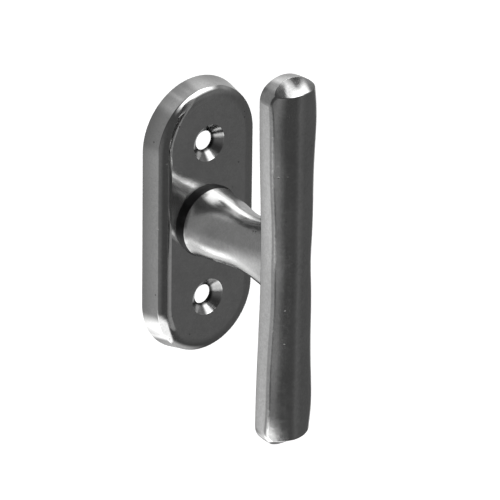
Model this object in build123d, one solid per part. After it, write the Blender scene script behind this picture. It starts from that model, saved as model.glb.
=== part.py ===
"""Turning T-bar window handle on an obround rose, as an assembly of separate pieces.

Millimetres.  +Z is up along the window stile, +X is to the right and -Y points into the room.
The origin is the centre of the rose's mounting face, on the spindle's axis.
Depths called "front" are measured from the mounting face towards the room, so front = -Y.
"""

from build123d import *
import math
import os

# ---------------------------------------------------------------- driving dimensions
# How far a cutting shape runs past what it cuts.
CUT_MARGIN = 1.0

# Rose: a hollow casting with drafted sides, a rounded bevel and a flat polished face.
ROSE_HALF_WIDTH = 16.33
ROSE_HALF_HEIGHT = 37.54
ROSE_THICKNESS = 6.25
ROSE_SIDE_HEIGHT = 5.0
ROSE_SIDE_DRAFT = 1.1
ROSE_FACE_INSET = 4.5
ROSE_BEVEL_BULGE = 0.31
ROSE_SIDE_ROUNDING = 0.35
ROSE_FACE_WALL = 2.6
ROSE_RIM = 2.95

# Fixing screws: standard spacing for window handles, M5 countersunk.
SCREW_SPACING = 43.0
SCREW_HOLE_RADIUS = 2.6
COUNTERSINK_RADIUS = 4.92
COUNTERSINK_DEPTH = 2.1

# Bearing: a black flanged bush pressed into the rose, and the handle's journal in it.
BUSH_BORE_RADIUS = 7.0
BUSH_SLEEVE_RADIUS = 8.0
BUSH_FLANGE_RADIUS = 9.6
BUSH_FLANGE_FRONT_RADIUS = 9.31
BUSH_FLANGE_THICKNESS = 1.55
RUNNING_CLEARANCE = 0.05
PRESS_GAP = 0.01

# Stem: half sizes of its oval section (across X, up Z) at each front depth.
STEM_SECTIONS = [
    (7.85, 9.31, 9.31),
    (13.0, 8.30, 8.60),
    (17.5, 7.20, 8.05),
    (21.5, 6.35, 7.75),
    (25.5, 5.90, 8.05),
    (29.5, 5.65, 8.90),
    (32.6, 5.60, 9.90),
    (34.6, 5.60, 11.6),
]

# Bar: waisted outline, flat back, flat sides, crowned front and a sloping facet over each end.
BAR_HALF_LENGTH = 50.4
BAR_HALF_WIDTH_MIDDLE = 6.2
BAR_HALF_WIDTH_END = 7.3
BAR_BACK = 34.1
BAR_CREASE = 39.35
BAR_END_CREASE = 37.05
BAR_CREST = 42.4
BAR_CORNER_RADIUS = 5.0
BAR_TIP_RADIUS = 9.5
BAR_CROWN_MARGIN = 0.2
BAR_CROWN_HEIGHTS = [19.0, 38.0, 42.0, 46.0, 50.8]
BAR_RECEDE_START = 38.0
BAR_RECEDE_END = 50.8
BAR_SIDE_ROUNDING = 1.8
BAR_BACK_ROUNDING = 0.5
BAR_WALL_CURVE_START = 37.3
BAR_WALL_CURVE_RADIUS = 18.0
BAR_WALL_CURVE_STEPS = 3
FACET_FRONT_RADIUS = 12.1
FACET_BACK_RADIUS = 15.0
FACET_BACK = 37.6
FACET_BULGE = 0.2
FACET_SWEEP = 45.0
FACET_OVERRUN = 0.2
FACET_CREASE_HEIGHT = 47.0
FACET_ROUNDING = 0.25

# Spindle: a 7 mm square bar, pinned in the stem.
SPINDLE_SIDE = 7.0
SPINDLE_EDGE_CHAMFER = 0.4
SPINDLE_TIP_RADIUS = 3.6
SPINDLE_TIP_LENGTH = 1.2
SPINDLE_PROJECTION = 14.0
SPINDLE_INSERTION = 22.0
SOCKET_GAP = 0.02
PIN_RADIUS = 1.0
PIN_FRONT = 5.9
PIN_HALF_LENGTH = 6.6

# Stack behind the rose's face wall, on the handle's tail.
WASHER_THICKNESS = 0.4
WASHER_RADIUS = 9.3
CAM_THICKNESS = 1.25
CAM_HALF_FLAT = 8.0
CAM_CORNER_REACH = 9.6
TAIL_HALF_FLAT = 5.9
RING_THICKNESS = 0.6
RING_RADIUS = 8.5
RING_OFFSET = 0.3
RING_GAP = 3.4
RING_EYE_RADIUS = 1.15
RING_EYE_HOLE_RADIUS = 0.55
RING_EYE_RISE = 0.4
GROOVE_RADIUS = 6.35
TAIL_LAND = 0.4

# Detent springs: two straight leaves that bear on the cam's flats.
LEAF_THICKNESS = 0.45
LEAF_HALF_LENGTH = 13.2
POST_HALF_WIDTH = 1.1
POST_START = 11.4
POST_LENGTH = 2.2
POST_FRONT = 1.6

# Rear cover: a thin plate in the hollow, held by two small countersunk screws.
COVER_THICKNESS = 0.8
COVER_RECESS = 0.05
COVER_HALF_WIDTH = 12.6
COVER_HALF_HEIGHT = 15.6
COVER_CORNER_RADIUS = 3.0
COVER_HOLE_RADIUS = 4.95
COVER_SCREW_OFFSET = 13.2
COVER_BOSS_RADIUS = 2.1
COVER_SCREW_RADIUS = 0.9
COVER_SCREW_LENGTH = 3.1
COVER_SCREW_HEAD_RADIUS = 1.6
COVER_SCREW_SLOT_WIDTH = 0.45
COVER_SCREW_SLOT_DEPTH = 0.35

# ---------------------------------------------------------------- worked-out depths
wall_back = ROSE_THICKNESS - ROSE_FACE_WALL
flange_front = ROSE_THICKNESS + BUSH_FLANGE_THICKNESS
shoulder_front = flange_front + RUNNING_CLEARANCE
journal_radius = BUSH_BORE_RADIUS - RUNNING_CLEARANCE
washer_front = wall_back - RUNNING_CLEARANCE
cam_front = washer_front - WASHER_THICKNESS
ring_front = cam_front - CAM_THICKNESS
tail_end = ring_front - RING_THICKNESS - TAIL_LAND
cover_front = COVER_RECESS + COVER_THICKNESS
leaf_x = CAM_HALF_FLAT + RUNNING_CLEARANCE


# ---------------------------------------------------------------- helpers
def front_plane(front):
    """A sketch plane across the spindle's axis: local x is +X, local y is +Z, normal is -Y."""
    return Plane.XZ.offset(front)


def slab(sketch, back, front):
    """Extrude a flat sketch from one front depth to another."""
    return extrude(front_plane(back) * sketch, front - back)


def cylinder(radius, back, front, x=0, z=0):
    """A round bar along the spindle's direction."""
    return slab(Pos(x, z) * Circle(radius), back, front)


def cone(back_radius, front_radius, back, front, x=0, z=0):
    """A cone along the spindle's direction."""
    half = (front - back) / 2
    body = Cone(back_radius, front_radius, 2 * half)
    return front_plane(back + half) * Pos(x, z) * body


def write(node, shape):
    """Write one named piece."""
    export_step(shape, os.path.join("parts", node + ".step"))


# ---------------------------------------------------------------- rose
def rose_half_profile():
    """Half of the rose's section, from its middle to its drafted side and rounded bevel."""
    side_top = (ROSE_HALF_WIDTH - ROSE_SIDE_DRAFT, -ROSE_SIDE_HEIGHT)
    face_edge = (ROSE_HALF_WIDTH - ROSE_FACE_INSET, -ROSE_THICKNESS)
    edges = [
        Line((0, 0), (ROSE_HALF_WIDTH, 0)),
        Line((ROSE_HALF_WIDTH, 0), side_top),
        SagittaArc(side_top, face_edge, ROSE_BEVEL_BULGE),
        Line(face_edge, (0, -ROSE_THICKNESS)),
        Line((0, -ROSE_THICKNESS), (0, 0)),
    ]
    profile = make_face(edges)
    crease = profile.vertices().sort_by_distance(side_top)[:1]
    return fillet(crease, ROSE_SIDE_ROUNDING)


def rose_outer():
    """The rose before it is hollowed: its section run straight and turned round both ends."""
    centre = ROSE_HALF_HEIGHT - ROSE_HALF_WIDTH
    half = rose_half_profile()
    section = half + mirror(half, Plane.YZ)
    body = extrude(section, centre, both=True)
    disc = revolve(half, Axis.Y, 360)
    for sign in (-1, 1):
        body += Pos(0, 0, sign * centre) * disc
    return body


def spring_posts():
    """Cast posts that hold the four ends of the leaf springs."""
    posts = []
    middle = leaf_x + LEAF_THICKNESS / 2
    for side in (-1, 1):
        for end in (-1, 1):
            z = end * (POST_START + POST_LENGTH / 2)
            block = Pos(side * middle, z) * Rectangle(2 * POST_HALF_WIDTH, POST_LENGTH)
            slot = Pos(side * middle, z) * Rectangle(LEAF_THICKNESS + 4 * PRESS_GAP, POST_LENGTH)
            posts.append(slab(block - slot, POST_FRONT, wall_back))
    return posts


def make_rose():
    """Hollow casting with the bush's bore, two countersunk holes, posts and screw bosses."""
    body = rose_outer()
    cavity = SlotOverall(
        2 * (ROSE_HALF_HEIGHT - ROSE_RIM), 2 * (ROSE_HALF_WIDTH - ROSE_RIM), rotation=90
    )
    body -= slab(cavity, 0, wall_back)
    body -= cylinder(BUSH_SLEEVE_RADIUS, wall_back - CUT_MARGIN, ROSE_THICKNESS + CUT_MARGIN)
    countersink_back = ROSE_THICKNESS - COUNTERSINK_DEPTH
    for sign in (-1, 1):
        z = sign * SCREW_SPACING / 2
        body -= cylinder(SCREW_HOLE_RADIUS, wall_back - CUT_MARGIN, ROSE_THICKNESS, z=z)
        body -= cone(
            SCREW_HOLE_RADIUS, COUNTERSINK_RADIUS, countersink_back, ROSE_THICKNESS, z=z
        )
        boss_z = sign * COVER_SCREW_OFFSET
        boss = cylinder(COVER_BOSS_RADIUS, cover_front, wall_back, z=boss_z)
        body += boss - cylinder(
            COVER_SCREW_RADIUS + PRESS_GAP, cover_front, wall_back, z=boss_z
        )
    for post in spring_posts():
        body += post
    return body


def make_bearing_bush():
    """Flanged bush: the black ring between the rose and the stem, and its sleeve."""
    flange = cone(
        BUSH_FLANGE_RADIUS, BUSH_FLANGE_FRONT_RADIUS, ROSE_THICKNESS, flange_front
    )
    sleeve = cylinder(BUSH_SLEEVE_RADIUS - PRESS_GAP, wall_back, ROSE_THICKNESS)
    return flange + sleeve - cylinder(BUSH_BORE_RADIUS, wall_back, flange_front)


def make_detent_spring(side):
    """One straight leaf beside the cam, its ends in the casting's posts."""
    leaf = Rectangle(LEAF_THICKNESS, 2 * LEAF_HALF_LENGTH)
    middle = side * (leaf_x + LEAF_THICKNESS / 2)
    return slab(Pos(middle, 0) * leaf, ring_front, cam_front)


def make_cover_plate():
    """Thin plate that closes the mechanism, with a hole for the spindle and two countersinks."""
    plate = RectangleRounded(
        2 * COVER_HALF_WIDTH, 2 * COVER_HALF_HEIGHT, COVER_CORNER_RADIUS
    )
    body = slab(plate - Circle(COVER_HOLE_RADIUS), COVER_RECESS, cover_front)
    for sign in (-1, 1):
        body -= cone(
            COVER_SCREW_HEAD_RADIUS + PRESS_GAP,
            COVER_SCREW_RADIUS + PRESS_GAP,
            COVER_RECESS,
            cover_front,
            z=sign * COVER_SCREW_OFFSET,
        )
    return body


def make_cover_screws():
    """Two small slotted countersunk screws."""
    screws = []
    for sign in (-1, 1):
        z = sign * COVER_SCREW_OFFSET
        head = cone(
            COVER_SCREW_HEAD_RADIUS, COVER_SCREW_RADIUS, COVER_RECESS, cover_front, z=z
        )
        shank = cylinder(COVER_SCREW_RADIUS, cover_front, COVER_RECESS + COVER_SCREW_LENGTH, z=z)
        slot = Pos(0, z) * Rectangle(2 * COVER_SCREW_HEAD_RADIUS + CUT_MARGIN, COVER_SCREW_SLOT_WIDTH)
        slot_cut = slab(slot, COVER_RECESS, COVER_RECESS + COVER_SCREW_SLOT_DEPTH)
        screws.append(head + shank - slot_cut)
    return screws


# ---------------------------------------------------------------- handle
def bar_half_width(z):
    """Half width of the bar's outline, which waists smoothly at the middle."""
    share = min(abs(z) / bar_shoulder, 1)
    ease = share * share * (3 - 2 * share)
    return BAR_HALF_WIDTH_MIDDLE + (BAR_HALF_WIDTH_END - BAR_HALF_WIDTH_MIDDLE) * ease


corner_x = BAR_HALF_WIDTH_END - BAR_CORNER_RADIUS
centre_gap = BAR_TIP_RADIUS - BAR_CORNER_RADIUS
tip_angle = math.degrees(math.asin(corner_x / centre_gap))
bar_shoulder = (
    BAR_HALF_LENGTH - BAR_TIP_RADIUS + math.sqrt(centre_gap**2 - corner_x**2)
)


def end_arcs(start, heading, inset):
    """Corner, tip and corner arcs over one end of the bar, each starting where the last ends."""
    corner_turn = 90 - tip_angle
    first = JernArc(start, heading, BAR_CORNER_RADIUS - inset, corner_turn)
    tip = JernArc(first @ 1, first % 1, BAR_TIP_RADIUS - inset, 2 * tip_angle)
    last = JernArc(tip @ 1, tip % 1, BAR_CORNER_RADIUS - inset, corner_turn)
    return [first, tip, last]


def bar_outline(inset=0.0):
    """The bar seen from the front, drawn in by an inset: waisted sides, squarish round ends."""
    end_x = BAR_HALF_WIDTH_END - inset
    low = (end_x, -bar_shoulder)
    middle = (BAR_HALF_WIDTH_MIDDLE - inset, 0)
    high = (end_x, bar_shoulder)
    right = Spline(low, middle, high, tangents=((0, 1), (0, 1)))
    left = mirror(right, Plane.YZ)
    top = end_arcs(high, (0, 1), inset)
    bottom = end_arcs((-end_x, -bar_shoulder), (0, -1), inset)
    return make_face([right, left] + top + bottom)


def bar_block():
    """The bar before its front is shaped: straight walls that curve in a little at the back."""
    sections = []
    for step in range(BAR_WALL_CURVE_STEPS + 1):
        depth = (BAR_WALL_CURVE_START - BAR_BACK) * step / BAR_WALL_CURVE_STEPS
        inset = depth**2 / (2 * BAR_WALL_CURVE_RADIUS)
        sections.append(front_plane(BAR_WALL_CURVE_START - depth) * bar_outline(inset))
    straight = slab(bar_outline(), BAR_WALL_CURVE_START, BAR_CREST + CUT_MARGIN)
    return straight + loft(sections)


def bar_crease_front(z):
    """Front depth of the bar's side creases, which fall back near the ends."""
    share = (abs(z) - BAR_RECEDE_START) / (BAR_RECEDE_END - BAR_RECEDE_START)
    share = min(max(share, 0), 1)
    return BAR_CREASE + (BAR_END_CREASE - BAR_CREASE) * share * share


def crown_section(z):
    """Section across the bar at one height: a round front edge, wider than the bar itself."""
    half_width = bar_half_width(z)
    rise = BAR_CREST - bar_crease_front(z)
    radius = (half_width**2 + rise**2) / (2 * rise)
    reach = half_width + BAR_CROWN_MARGIN
    edge = BAR_CREST - radius + math.sqrt(radius**2 - reach**2)
    base = BAR_BACK - CUT_MARGIN
    corners = [(-reach, -edge), (-reach, -base), (reach, -base), (reach, -edge)]
    outline = [ThreePointArc(corners[0], (0, -BAR_CREST), corners[3])]
    for start, end in zip(corners, corners[1:]):
        outline.append(Line(start, end))
    return Pos(0, 0, z) * make_face(outline)


def bar_crown():
    """The crowned front, run through its sections from one end of the bar to the other."""
    lower = [-z for z in reversed(BAR_CROWN_HEIGHTS)]
    return loft([crown_section(z) for z in lower + [0] + BAR_CROWN_HEIGHTS])


def facet_profile():
    """Section of what the facet takes away, beyond a slightly bulging slope."""
    slope = (FACET_BACK - BAR_CREST) / (FACET_BACK_RADIUS - FACET_FRONT_RADIUS)
    first = (FACET_FRONT_RADIUS - FACET_OVERRUN, BAR_CREST - FACET_OVERRUN * slope)
    last = (FACET_BACK_RADIUS + FACET_OVERRUN, FACET_BACK + FACET_OVERRUN * slope)
    beyond = FACET_BACK_RADIUS + CUT_MARGIN
    edges = [
        SagittaArc(first, last, -FACET_BULGE),
        Line(last, (beyond, last[1])),
        Line((beyond, last[1]), (beyond, first[1])),
        Line((beyond, first[1]), first),
    ]
    return make_face(edges)


def facet_cutter():
    """The facet's section turned about a centre that puts its back edge at the bar's tip."""
    centre = BAR_HALF_LENGTH - FACET_BACK_RADIUS
    flank = Plane(origin=(0, 0, centre), x_dir=(0, 0, 1), z_dir=(1, 0, 0))
    axis = Axis((0, 0, centre), (0, -1, 0))
    half = revolve(flank * facet_profile(), axis, FACET_SWEEP)
    return half + mirror(half, Plane.YZ)


def is_side_crease(edge):
    """Whether an edge runs between the bar's side and its crown, up to the facet."""
    middle = edge.center()
    at_side = abs(middle.X) > BAR_HALF_WIDTH_MIDDLE - FACET_OVERRUN
    return at_side and -middle.Y > FACET_BACK and abs(middle.Z) < FACET_CREASE_HEIGHT


def is_facet_crease(edge):
    """Whether an edge runs between the bar's crown and a facet."""
    middle = edge.center()
    return -middle.Y > BAR_CREST - FACET_OVERRUN and abs(middle.Z) > FACET_CREASE_HEIGHT


def make_bar():
    """The bar: its outline cut to a crowned front and two faceted ends, with rounded edges."""
    bar = bar_block() & bar_crown()
    cutter = facet_cutter()
    bar -= cutter
    bar -= mirror(cutter, Plane.XY)
    bar = fillet(bar.edges().filter_by(is_side_crease), BAR_SIDE_ROUNDING)
    bar = fillet(bar.edges().group_by(Axis.Y)[-1], BAR_BACK_ROUNDING)
    return fillet(bar.edges().filter_by(is_facet_crease), FACET_ROUNDING)


def make_stem():
    """Stem from a round shoulder to a tall oval that flares into the bar's back."""
    sections = []
    for front, across, up in STEM_SECTIONS:
        plane = Plane(origin=(0, -front, 0), x_dir=(0, 0, 1), z_dir=(0, -1, 0))
        sections.append(plane * Ellipse(up, across))
    return loft(sections)


def tail_sketch(radius):
    """Round tail with two flats, for the cam."""
    return Circle(radius) & Rectangle(2 * TAIL_HALF_FLAT, 3 * radius)


def make_t_handle():
    """One casting: bar, stem, journal and tail, with the spindle's socket and pin hole."""
    body = make_stem() + make_bar()
    body += cylinder(journal_radius, cam_front, shoulder_front)
    body += slab(tail_sketch(journal_radius), tail_end, cam_front)
    groove = Circle(journal_radius + CUT_MARGIN) - Circle(GROOVE_RADIUS)
    body -= slab(groove, ring_front - RING_THICKNESS - PRESS_GAP, ring_front)
    socket = Rectangle(SPINDLE_SIDE + 2 * SOCKET_GAP, SPINDLE_SIDE + 2 * SOCKET_GAP)
    body -= slab(socket, tail_end, SPINDLE_INSERTION + SOCKET_GAP)
    return body - pin_bar(PIN_RADIUS + PRESS_GAP, journal_radius + CUT_MARGIN)


def pin_bar(radius, half_length):
    """A round bar along Z at the cross pin's place."""
    return Pos(0, -PIN_FRONT, 0) * Cylinder(radius, 2 * half_length)


def make_spindle():
    """Square bar with broken edges, a turned tip and the hole for its cross pin."""
    square = Rectangle(SPINDLE_SIDE, SPINDLE_SIDE)
    square = chamfer(square.vertices(), SPINDLE_EDGE_CHAMFER)
    body = slab(square, -SPINDLE_PROJECTION, SPINDLE_INSERTION)
    tip_start = SPINDLE_TIP_LENGTH - SPINDLE_PROJECTION
    blank = cone(SPINDLE_TIP_RADIUS, SPINDLE_SIDE, -SPINDLE_PROJECTION, tip_start)
    blank += cylinder(SPINDLE_SIDE, tip_start, SPINDLE_INSERTION)
    return (body & blank) - pin_bar(PIN_RADIUS + PRESS_GAP, SPINDLE_SIDE)


def make_spindle_pin():
    """Cross pin that holds the spindle in the stem."""
    return pin_bar(PIN_RADIUS, PIN_HALF_LENGTH)


def make_thrust_washer():
    """Thin steel washer behind the face wall."""
    washer = Circle(WASHER_RADIUS) - Circle(BUSH_BORE_RADIUS)
    return slab(washer, cam_front, washer_front)


def make_index_cam():
    """Square cam with rounded corners, keyed on the tail's flats."""
    square = Rectangle(2 * CAM_HALF_FLAT, 2 * CAM_HALF_FLAT) & Circle(CAM_CORNER_REACH)
    hole = Circle(BUSH_BORE_RADIUS) & Rectangle(
        2 * (TAIL_HALF_FLAT + PRESS_GAP), 3 * BUSH_BORE_RADIUS
    )
    return slab(square - hole, ring_front, cam_front)


def make_retaining_ring():
    """Open spring ring in the tail's groove, with two eyes for pliers."""
    ring = Pos(0, -RING_OFFSET) * Circle(RING_RADIUS) - Circle(GROOVE_RADIUS + PRESS_GAP)
    ring -= Pos(0, RING_RADIUS) * Rectangle(RING_GAP, 2 * RING_RADIUS - GROOVE_RADIUS)
    for sign in (-1, 1):
        eye_x = sign * (RING_GAP / 2 + RING_EYE_RADIUS)
        place = Pos(eye_x, RING_RADIUS - RING_EYE_RADIUS + RING_EYE_RISE)
        ring += place * Circle(RING_EYE_RADIUS)
        ring -= place * Circle(RING_EYE_HOLE_RADIUS)
    return slab(ring, ring_front - RING_THICKNESS, ring_front)


# ---------------------------------------------------------------- write every piece
os.makedirs("parts", exist_ok=True)

write("rose", make_rose())
write("bearing_bush", make_bearing_bush())
write("detent_spring_left", make_detent_spring(-1))
write("detent_spring_right", make_detent_spring(1))
write("cover_plate", make_cover_plate())
write("cover_screws", Compound(children=make_cover_screws()))
write("t_handle", make_t_handle())
write("spindle", make_spindle())
write("spindle_pin", make_spindle_pin())
write("thrust_washer", make_thrust_washer())
write("index_cam", make_index_cam())
write("retaining_ring", make_retaining_ring())
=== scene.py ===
"""Looks for the turning T-bar window handle: finishes, soft studio light, floor and camera.

Metres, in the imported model's frame: +Z up, +X right, -Y into the room, origin on the spindle's
axis at the rose's mounting face.
"""

import math

import bpy
from mathutils import Matrix, Vector


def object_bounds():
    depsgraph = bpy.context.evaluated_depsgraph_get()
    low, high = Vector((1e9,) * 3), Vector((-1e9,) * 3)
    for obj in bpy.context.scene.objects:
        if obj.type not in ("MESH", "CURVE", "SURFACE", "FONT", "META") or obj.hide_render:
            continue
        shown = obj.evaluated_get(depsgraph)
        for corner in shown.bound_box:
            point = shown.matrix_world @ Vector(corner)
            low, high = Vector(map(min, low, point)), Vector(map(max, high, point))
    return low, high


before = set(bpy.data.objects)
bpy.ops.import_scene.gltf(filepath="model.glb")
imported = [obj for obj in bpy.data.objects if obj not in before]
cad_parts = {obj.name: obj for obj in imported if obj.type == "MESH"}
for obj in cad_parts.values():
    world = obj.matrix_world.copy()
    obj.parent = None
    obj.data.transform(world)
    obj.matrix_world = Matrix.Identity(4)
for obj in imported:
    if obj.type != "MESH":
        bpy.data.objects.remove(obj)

cad_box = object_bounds()

# ---------------------------------------------------------------- camera and stage
CAMERA_AZIMUTH = -39.646
CAMERA_ELEVATION = 25.648
CAMERA_ROLL = -0.785
CAMERA_DISTANCE = 1.37238
CAMERA_TARGET = (0.0086676, -0.0124695, -0.0084788)
CAMERA_LENS = 389.39

FLOOR_DROP = 0.12
FLOOR_SIZE = 12.0
FLOOR_GLOW = 0.55

# ---------------------------------------------------------------- studio light
# Soft panels round the object, in degrees: azimuth of the middle (0 is -Y, 90 is +X), half its
# width, lowest and highest elevation, softness of its edges, and its radiance.
ROOM_LEVEL = 0.075
PANELS = {
    "key": (24, 27, 25, 61, 9, 3.2),
    "key_link": (78, 22, 57, 84, 7, 1.3),
    "key_edge": (102, 10, 35, 76, 6, 2.0),
    "below_key": (80, 22, 12, 38, 6, 0.2),
    "rear_high": (144, 22, 20, 60, 9, 0.75),
    "rear_top": (180, 26, 30, 90, 12, 0.4),
    "rear_low": (140, 24, -36, 20, 8, 0.45),
    "left_low": (-120, 48, -60, -16, 8, 0.32),
    "left": (-128, 26, -16, 50, 8, 0.2),
    "left_glow": (-142, 12, -100, -25, 12, 0.55),
    "left_high": (-142, 22, 46, 68, 8, 0.4),
    "table_left": (-142, 46, -100, -45, 9, 1.4),
    "table_front": (-34, 42, -100, -35, 4, 1.4),
    "front_left": (-78, 20, -100, -31, 5, 0.9),
    "table_rear": (160, 22, -100, -36, 8, 0.45),
    "table_right": (55, 90, -100, -62, 8, 0.5),
    "room_front": (34, 4, -40, 14, 18, 0.1),
    "room_right": (75, 35, -45, 20, 12, 0.03),
    "room_mid": (60, 50, 2, 24, 8, 0.07),
    "room_left": (-44, 12, -45, 0, 22, 0.22),
    "ceiling": (60, 60, 66, 100, 8, 0.05),
}
BACKDROP_LEVEL = 1.0

# ---------------------------------------------------------------- finishes
# The nickel's colour darkens towards the rose's mounting edge, unevenly.
EDGE_DARKENING_REACH = 0.0042
EDGE_DARKENING_RAGGEDNESS = 0.0012
# It is rubbed to a softer sheen in front of the rose, where hands reach it.
HANDLED_FROM = 0.0066
HANDLED_FULLY = 0.0082
# Polishing wheels do not reach the neck behind the bar nor into the two countersinks.
NECK_RADIUS = 0.0112
NECK_FRONT = 0.0338
COUNTERSINK_RADIUS = 0.0049
HOLE_HEIGHT = 0.0215
# Painted shade darkens the bores of the two holes, up to a little way outside their edge.
BORE_RADIUS = 0.003
# How far the satin and dark areas fade at their edges.
SOFT_EDGE = 0.0003

# Colours of the nickel, from a plain patch of plate to the inside of a hole; the countersink and
# bore colours are painted shade.
PLATE_DIM = (0.57, 0.57, 0.568, 1)
PLATE_BRIGHT = (0.68, 0.68, 0.677, 1)
EDGE_DARK_COLOUR = (0.30, 0.30, 0.298, 1)
# Painted shade for the countersinks.
COUNTERSINK_PAINTED_SHADE = (0.18, 0.18, 0.18, 1)
# Painted shade for the bores of the fixing holes.
BORE_PAINTED_SHADE = (0.03, 0.03, 0.03, 1)
PIT_METAL = (0.26, 0.26, 0.26, 1)

# The bush's turning lines, in radians of a wave along each metre of radius.
TURNING_LINES = 22000.0

# Which slot each piece takes its finish from.
FINISHES = {
    "polished_nickel": ["rose", "t_handle"],
    "black_nylon": ["bearing_bush"],
    "spring_steel": ["detent_spring_left", "detent_spring_right", "retaining_ring"],
    "zinc_plated_steel": ["cover_plate", "cover_screws", "index_cam", "thrust_washer"],
    "bright_steel": ["spindle", "spindle_pin"],
}


def direction(azimuth, elevation):
    """Unit vector towards an azimuth (0 is -Y, 90 is +X) and elevation in degrees."""
    turn = math.radians(azimuth)
    rise = math.radians(elevation)
    level = math.cos(rise)
    return Vector((math.sin(turn) * level, -math.cos(turn) * level, math.sin(rise)))


class Tree:
    """Short names for adding and linking nodes."""

    def __init__(self, tree):
        self.nodes = tree.nodes
        self.links = tree.links
        self.nodes.clear()

    def add(self, kind, inputs=None, **settings):
        """Add a node; inputs are numbers, colours or the sockets that feed them."""
        node = self.nodes.new(kind)
        for name, value in settings.items():
            setattr(node, name, value)
        for key, value in (inputs or {}).items():
            if isinstance(value, bpy.types.NodeSocket):
                self.links.new(value, node.inputs[key])
            else:
                node.inputs[key].default_value = value
        return node

    def math(self, operation, *values):
        """A sum, product and so on of numbers and sockets."""
        inputs = dict(enumerate(values))
        return self.add("ShaderNodeMath", inputs, operation=operation).outputs[0]

    def remap(self, value, low, high, to_low=0.0, to_high=1.0):
        """A smooth step from one level to another between two input values."""
        inputs = {
            "Value": value, "From Min": low, "From Max": high,
            "To Min": to_low, "To Max": to_high,
        }
        node = self.add("ShaderNodeMapRange", inputs, interpolation_type="SMOOTHSTEP")
        return node.outputs["Result"]

    def scaled(self, vector, scale):
        """Coordinates stretched along the axes."""
        return self.add("ShaderNodeMapping", {"Vector": vector, "Scale": scale}).outputs[0]

    def noise(self, vector, scale, detail=2.0, roughness=0.5, distortion=0.0):
        """A noise pattern between 0 and 1."""
        inputs = {
            "Vector": vector, "Scale": scale, "Detail": detail,
            "Roughness": roughness, "Distortion": distortion,
        }
        return self.add("ShaderNodeTexNoise", inputs).outputs[0]

    def cells(self, vector, scale):
        """The outputs of a cell pattern: distance from each cell's middle and its own colour."""
        return self.add("ShaderNodeTexVoronoi", {"Vector": vector, "Scale": scale}).outputs

    def blend(self, share, first, second):
        """A colour between two colours."""
        node = self.add("ShaderNodeMix", data_type="RGBA")
        sockets = [s for s in node.inputs if s.enabled]
        for socket, value in zip(sockets, (share, first, second)):
            if isinstance(value, bpy.types.NodeSocket):
                self.links.new(value, socket)
            else:
                socket.default_value = value
        return [s for s in node.outputs if s.enabled][0]

    def bump(self, height, distance, normal=None):
        """A normal disturbed by a height pattern of a real depth in metres."""
        inputs = {"Height": height, "Distance": distance}
        if normal is not None:
            inputs["Normal"] = normal
        return self.add("ShaderNodeBump", inputs).outputs[0]


def new_material(name):
    """An empty node material, its tree and the object's own coordinates."""
    material = bpy.data.materials.new(name)
    material.use_nodes = True
    tree = Tree(material.node_tree)
    place = tree.add("ShaderNodeTexCoord").outputs["Object"]
    return material, tree, place


def surface(tree, inputs):
    """The principled shader at the end of a material."""
    shader = tree.add("ShaderNodeBsdfPrincipled", inputs)
    tree.add("ShaderNodeOutputMaterial", {"Surface": shader.outputs[0]})


# ---------------------------------------------------------------- materials
def pits(tree, place, scale, size, share):
    """Small sparse pits: 1 in the middle of a pit, 0 elsewhere."""
    cell = tree.cells(place, scale)
    round_pit = tree.remap(cell["Distance"], size, size * 0.4)
    pick = tree.add("ShaderNodeSeparateColor", {0: cell["Color"]}).outputs[0]
    chosen = tree.remap(pick, share, share - 0.02)
    return tree.math("MULTIPLY", round_pit, chosen)


def near_line(tree, axes, height, radius):
    """1 close to a line along Y at this height, mirrored below, 0 beyond the radius."""
    rise = tree.math("SUBTRACT", tree.math("ABSOLUTE", axes["Z"]), height)
    across = tree.math("MULTIPLY", axes["X"], axes["X"])
    distance = tree.math("SQRT", tree.math("ADD", across, tree.math("MULTIPLY", rise, rise)))
    return tree.remap(distance, radius + SOFT_EDGE, radius - SOFT_EDGE)


def past_rose(tree, axes, full=1.0):
    """0 in the rose, the full value further into the room."""
    return tree.remap(axes["Y"], -HANDLED_FROM, -HANDLED_FULLY, 0.0, full)


def around_neck(tree, axes):
    """1 on the neck between the rose and the bar, 0 elsewhere."""
    short_of_bar = tree.remap(axes["Y"], -NECK_FRONT - SOFT_EDGE, -NECK_FRONT + SOFT_EDGE)
    neck = tree.math("MULTIPLY", near_line(tree, axes, 0.0, NECK_RADIUS), short_of_bar)
    return tree.math("MULTIPLY", neck, past_rose(tree, axes))


def around_holes(tree, axes, radius):
    """1 close to the axis of either fixing hole of the rose, 0 elsewhere."""
    in_rose = tree.math("SUBTRACT", 1.0, past_rose(tree, axes))
    return tree.math("MULTIPLY", near_line(tree, axes, HOLE_HEIGHT, radius), in_rose)


def nickel_colour(tree, axes, mottle, tone, sinks, pitting):
    """Clouded plate, darker towards the mounting edge, with painted shade in the countersinks
    and bores, and darker pits.
    """
    plated = tree.blend(tree.remap(tone, 1.1, 1.9), PLATE_DIM, PLATE_BRIGHT)
    ragged = tree.math("ADD", axes["Y"], tree.math("MULTIPLY", mottle, EDGE_DARKENING_RAGGEDNESS))
    edge_darkening = tree.remap(ragged, -EDGE_DARKENING_REACH, EDGE_DARKENING_RAGGEDNESS, 0.0, 0.6)
    edge_darkened = tree.blend(edge_darkening, plated, EDGE_DARK_COLOUR)
    # Painted shade: the countersinks are coloured darker.
    countersink_shaded = tree.blend(tree.math("MULTIPLY", sinks, 0.6), edge_darkened, COUNTERSINK_PAINTED_SHADE)
    # Painted shade: the bores of the fixing holes are coloured near black.
    bore_shaded = tree.blend(around_holes(tree, axes, BORE_RADIUS), countersink_shaded, BORE_PAINTED_SHADE)
    return tree.blend(pitting, bore_shaded, PIT_METAL)


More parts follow.
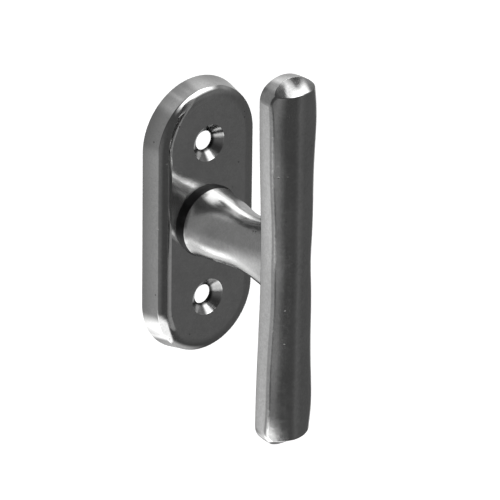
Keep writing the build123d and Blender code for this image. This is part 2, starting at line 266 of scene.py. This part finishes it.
def nickel_roughness(tree, axes, cloud, grain, sinks):
    """A mirror-like sheen, softer along the streaks, where handled and where not reached."""
    sheen = tree.remap(cloud, 0.32, 0.68, 0.06, 0.1)
    rubbed = tree.remap(grain, 0.7, 1.3, -0.015, 0.03)
    polish = tree.math("ADD", sheen, rubbed)
    satin = tree.math("MULTIPLY", tree.math("ADD", around_neck(tree, axes), sinks), 0.09)
    handled = past_rose(tree, axes, 0.05)
    return tree.math("ADD", tree.math("ADD", polish, handled), satin)


def nickel_relief(tree, place, grain, pitting):
    """Slow waves left by polishing, a fine peel, streaks and pits."""
    waves = tree.bump(tree.noise(place, 95, detail=1), 0.00006)
    peel = tree.bump(tree.noise(place, 520, detail=2), 0.0000035, waves)
    streaks = tree.bump(grain, 0.0000006, peel)
    return tree.bump(tree.math("SUBTRACT", 1.0, pitting), 0.00002, streaks)


def polished_nickel():
    """Nickel-plated casting, polished by hand: clouded sheen, fine streaks, a few pits."""
    material, tree, place = new_material("polished_nickel")
    axes = tree.add("ShaderNodeSeparateXYZ", {0: place}).outputs
    cloud = tree.noise(place, 70, detail=3, roughness=0.55, distortion=0.6)
    mottle = tree.noise(place, 700, detail=4, roughness=0.65)
    speckle = tree.noise(place, 1900, detail=2, roughness=0.7)
    tone = tree.math("ADD", tree.math("ADD", cloud, mottle), speckle)
    long_streak = tree.noise(tree.scaled(place, (1500, 1500, 60)), 1, detail=3, roughness=0.6)
    cross_streak = tree.noise(tree.scaled(place, (110, 1100, 1700)), 1, detail=2)
    grain = tree.math("ADD", long_streak, cross_streak)
    pitting = pits(tree, place, 520, 0.16, 0.10)
    sinks = around_holes(tree, axes, COUNTERSINK_RADIUS)
    surface(tree, {
        "Base Color": nickel_colour(tree, axes, mottle, tone, sinks, pitting),
        "Metallic": 1.0,
        "Roughness": nickel_roughness(tree, axes, cloud, grain, sinks),
        "Normal": nickel_relief(tree, place, grain, pitting),
    })
    return material


def black_nylon():
    """Moulded black nylon with turning lines and a faint dusty bloom."""
    material, tree, place = new_material("black_nylon")
    dust = tree.noise(place, 420, detail=4, roughness=0.6)
    radius = tree.add(
        "ShaderNodeVectorMath", {0: tree.scaled(place, (1, 0, 1))}, operation="LENGTH"
    ).outputs["Value"]
    lines = tree.math("SINE", tree.math("MULTIPLY", radius, TURNING_LINES))
    dusty = tree.remap(dust, 0.4, 0.75)
    colour = tree.blend(dusty, (0.004, 0.004, 0.004, 1), (0.018, 0.018, 0.019, 1))
    roughness = tree.remap(dust, 0.3, 0.7, 0.36, 0.55)
    turned = tree.bump(lines, 0.000002)
    normal = tree.bump(tree.noise(place, 2500, detail=2), 0.000006, turned)
    surface(tree, {
        "Base Color": colour, "Roughness": roughness, "Normal": normal, "IOR": 1.53,
        "Specular IOR Level": 0.3,
    })
    return material


def drawn_metal(name, dark, light, stretch, rough_low, rough_high, stain):
    """Drawn or rolled steel: streaks along one direction, stains and small nicks."""
    material, tree, place = new_material(name)
    streak = tree.noise(tree.scaled(place, stretch), 1, detail=4, roughness=0.6)
    patch = tree.noise(place, 160, detail=4, roughness=0.6, distortion=0.8)
    nicks = pits(tree, place, 420, 0.2, 0.12)
    steel = tree.blend(tree.remap(streak, 0.35, 0.65), dark, light)
    stained = tree.blend(tree.remap(patch, 0.5, 0.8), steel, stain)
    colour = tree.blend(nicks, stained, dark)
    roughness = tree.remap(patch, 0.3, 0.7, rough_low, rough_high)
    lined = tree.bump(streak, 0.0000022)
    uneven = tree.bump(patch, 0.00002, lined)
    normal = tree.bump(tree.math("SUBTRACT", 1.0, nicks), 0.00002, uneven)
    surface(tree, {
        "Base Color": colour, "Metallic": 1.0, "Roughness": roughness, "Normal": normal,
    })
    return material


def spring_steel():
    """Blued spring steel, darker than the rest and rolled along the leaves."""
    return drawn_metal(
        "spring_steel", (0.10, 0.105, 0.12, 1), (0.19, 0.20, 0.225, 1), (3000, 3000, 90),
        0.24, 0.4, (0.15, 0.12, 0.09, 1),
    )


def bright_steel():
    """Bright drawn steel with lines along the spindle and a little brown staining."""
    return drawn_metal(
        "bright_steel", (0.40, 0.40, 0.405, 1), (0.56, 0.56, 0.565, 1), (2600, 70, 2600),
        0.2, 0.36, (0.36, 0.32, 0.28, 1),
    )


def zinc_plated_steel():
    """Zinc plate: a cool matt sheen with faint crystals and dull patches."""
    material, tree, place = new_material("zinc_plated_steel")
    crystal = tree.cells(place, 900)["Color"]
    facet = tree.add("ShaderNodeSeparateColor", {0: crystal}).outputs[0]
    patch = tree.noise(place, 190, detail=4, roughness=0.6, distortion=0.5)
    speck = tree.noise(place, 2600, detail=2)
    plate = tree.blend(facet, (0.47, 0.485, 0.5, 1), (0.56, 0.57, 0.58, 1))
    colour = tree.blend(tree.remap(patch, 0.48, 0.75), plate, (0.46, 0.44, 0.38, 1))
    roughness = tree.remap(tree.math("ADD", patch, speck), 0.7, 1.3, 0.26, 0.46)
    uneven = tree.bump(patch, 0.00003)
    normal = tree.bump(speck, 0.0000025, uneven)
    surface(tree, {
        "Base Color": colour, "Metallic": 1.0, "Roughness": roughness, "Normal": normal,
    })
    return material


def apply_finishes():
    """Give every CAD piece the material of its slot."""
    makers = {
        "polished_nickel": polished_nickel,
        "black_nylon": black_nylon,
        "spring_steel": spring_steel,
        "zinc_plated_steel": zinc_plated_steel,
        "bright_steel": bright_steel,
    }
    for slot, names in FINISHES.items():
        material = makers[slot]()
        for name in names:
            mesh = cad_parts[name].data
            mesh.materials.clear()
            mesh.materials.append(material)


# ---------------------------------------------------------------- stage
def panel_glow(tree, azimuth, elevation, panel):
    """Radiance that one soft panel adds in a ray's direction."""
    middle, half, low, high, soft, radiance = panel
    away = tree.math("PINGPONG", tree.math("SUBTRACT", azimuth, middle), 180)
    across = tree.remap(away, half + soft, half - soft, 0.0, radiance)
    above = tree.remap(elevation, low - soft, low + soft)
    below = tree.remap(elevation, high + soft, high - soft)
    return tree.math("MULTIPLY", across, tree.math("MULTIPLY", above, below))


def make_world():
    """Soft panels in a dim room; the camera itself sees a plain pale backdrop."""
    world = bpy.data.worlds.new("studio")
    bpy.context.scene.world = world
    world.use_nodes = True
    tree = Tree(world.node_tree)
    ray = tree.add("ShaderNodeTexCoord").outputs["Generated"]
    axes = tree.add("ShaderNodeSeparateXYZ", {0: ray}).outputs
    forward = tree.math("MULTIPLY", axes["Y"], -1)
    azimuth = tree.math("DEGREES", tree.math("ARCTAN2", axes["X"], forward))
    elevation = tree.math("DEGREES", tree.math("ARCSINE", axes["Z"]))
    level = ROOM_LEVEL
    for panel in PANELS.values():
        level = tree.math("ADD", level, panel_glow(tree, azimuth, elevation, panel))
    lit = tree.add("ShaderNodeBackground", {"Color": (1, 1, 1, 1), "Strength": level})
    plain = tree.add(
        "ShaderNodeBackground", {"Color": (1, 1, 1, 1), "Strength": BACKDROP_LEVEL}
    )
    path = tree.add("ShaderNodeLightPath")
    mix = tree.add(
        "ShaderNodeMixShader",
        {0: path.outputs["Is Camera Ray"], 1: lit.outputs[0], 2: plain.outputs[0]},
    )
    tree.add("ShaderNodeOutputWorld", {"Surface": mix.outputs[0]})


def make_camera():
    """Long-lens camera above and to the left of the object, slightly rolled."""
    back = direction(CAMERA_AZIMUTH, CAMERA_ELEVATION)
    level_right = Vector((0, 0, 1)).cross(back).normalized()
    level_up = back.cross(level_right)
    roll = math.radians(CAMERA_ROLL)
    right = level_right * math.cos(roll) - level_up * math.sin(roll)
    up = level_right * math.sin(roll) + level_up * math.cos(roll)
    data = bpy.data.cameras.new("camera")
    data.lens = CAMERA_LENS
    data.clip_start = 0.01
    data.clip_end = 50
    camera = bpy.data.objects.new("camera", data)
    rotation = Matrix((right, up, back)).transposed().to_4x4()
    place = Vector(CAMERA_TARGET) + back * CAMERA_DISTANCE
    camera.matrix_world = Matrix.Translation(place) @ rotation
    bpy.context.scene.collection.objects.link(camera)
    bpy.context.scene.camera = camera


def make_floor():
    """A plain pale floor below the object, kept out of the metal's reflections."""
    material, tree, _ = new_material("floor_paint")
    surface(tree, {
        "Base Color": (0.93, 0.93, 0.93, 1), "Roughness": 0.9,
        "Emission Color": (1, 1, 1, 1), "Emission Strength": FLOOR_GLOW,
    })
    half = FLOOR_SIZE / 2
    z = cad_box[0].z - FLOOR_DROP
    mesh = bpy.data.meshes.new("floor")
    corners = [(-half, -half, z), (half, -half, z), (half, half, z), (-half, half, z)]
    mesh.from_pydata(corners, [], [(0, 1, 2, 3)])
    mesh.materials.append(material)
    floor = bpy.data.objects.new("floor", mesh)
    floor.visible_glossy = False
    bpy.context.scene.collection.objects.link(floor)


apply_finishes()
make_world()
make_camera()
make_floor()
bpy.context.scene.view_settings.view_transform = "Standard"
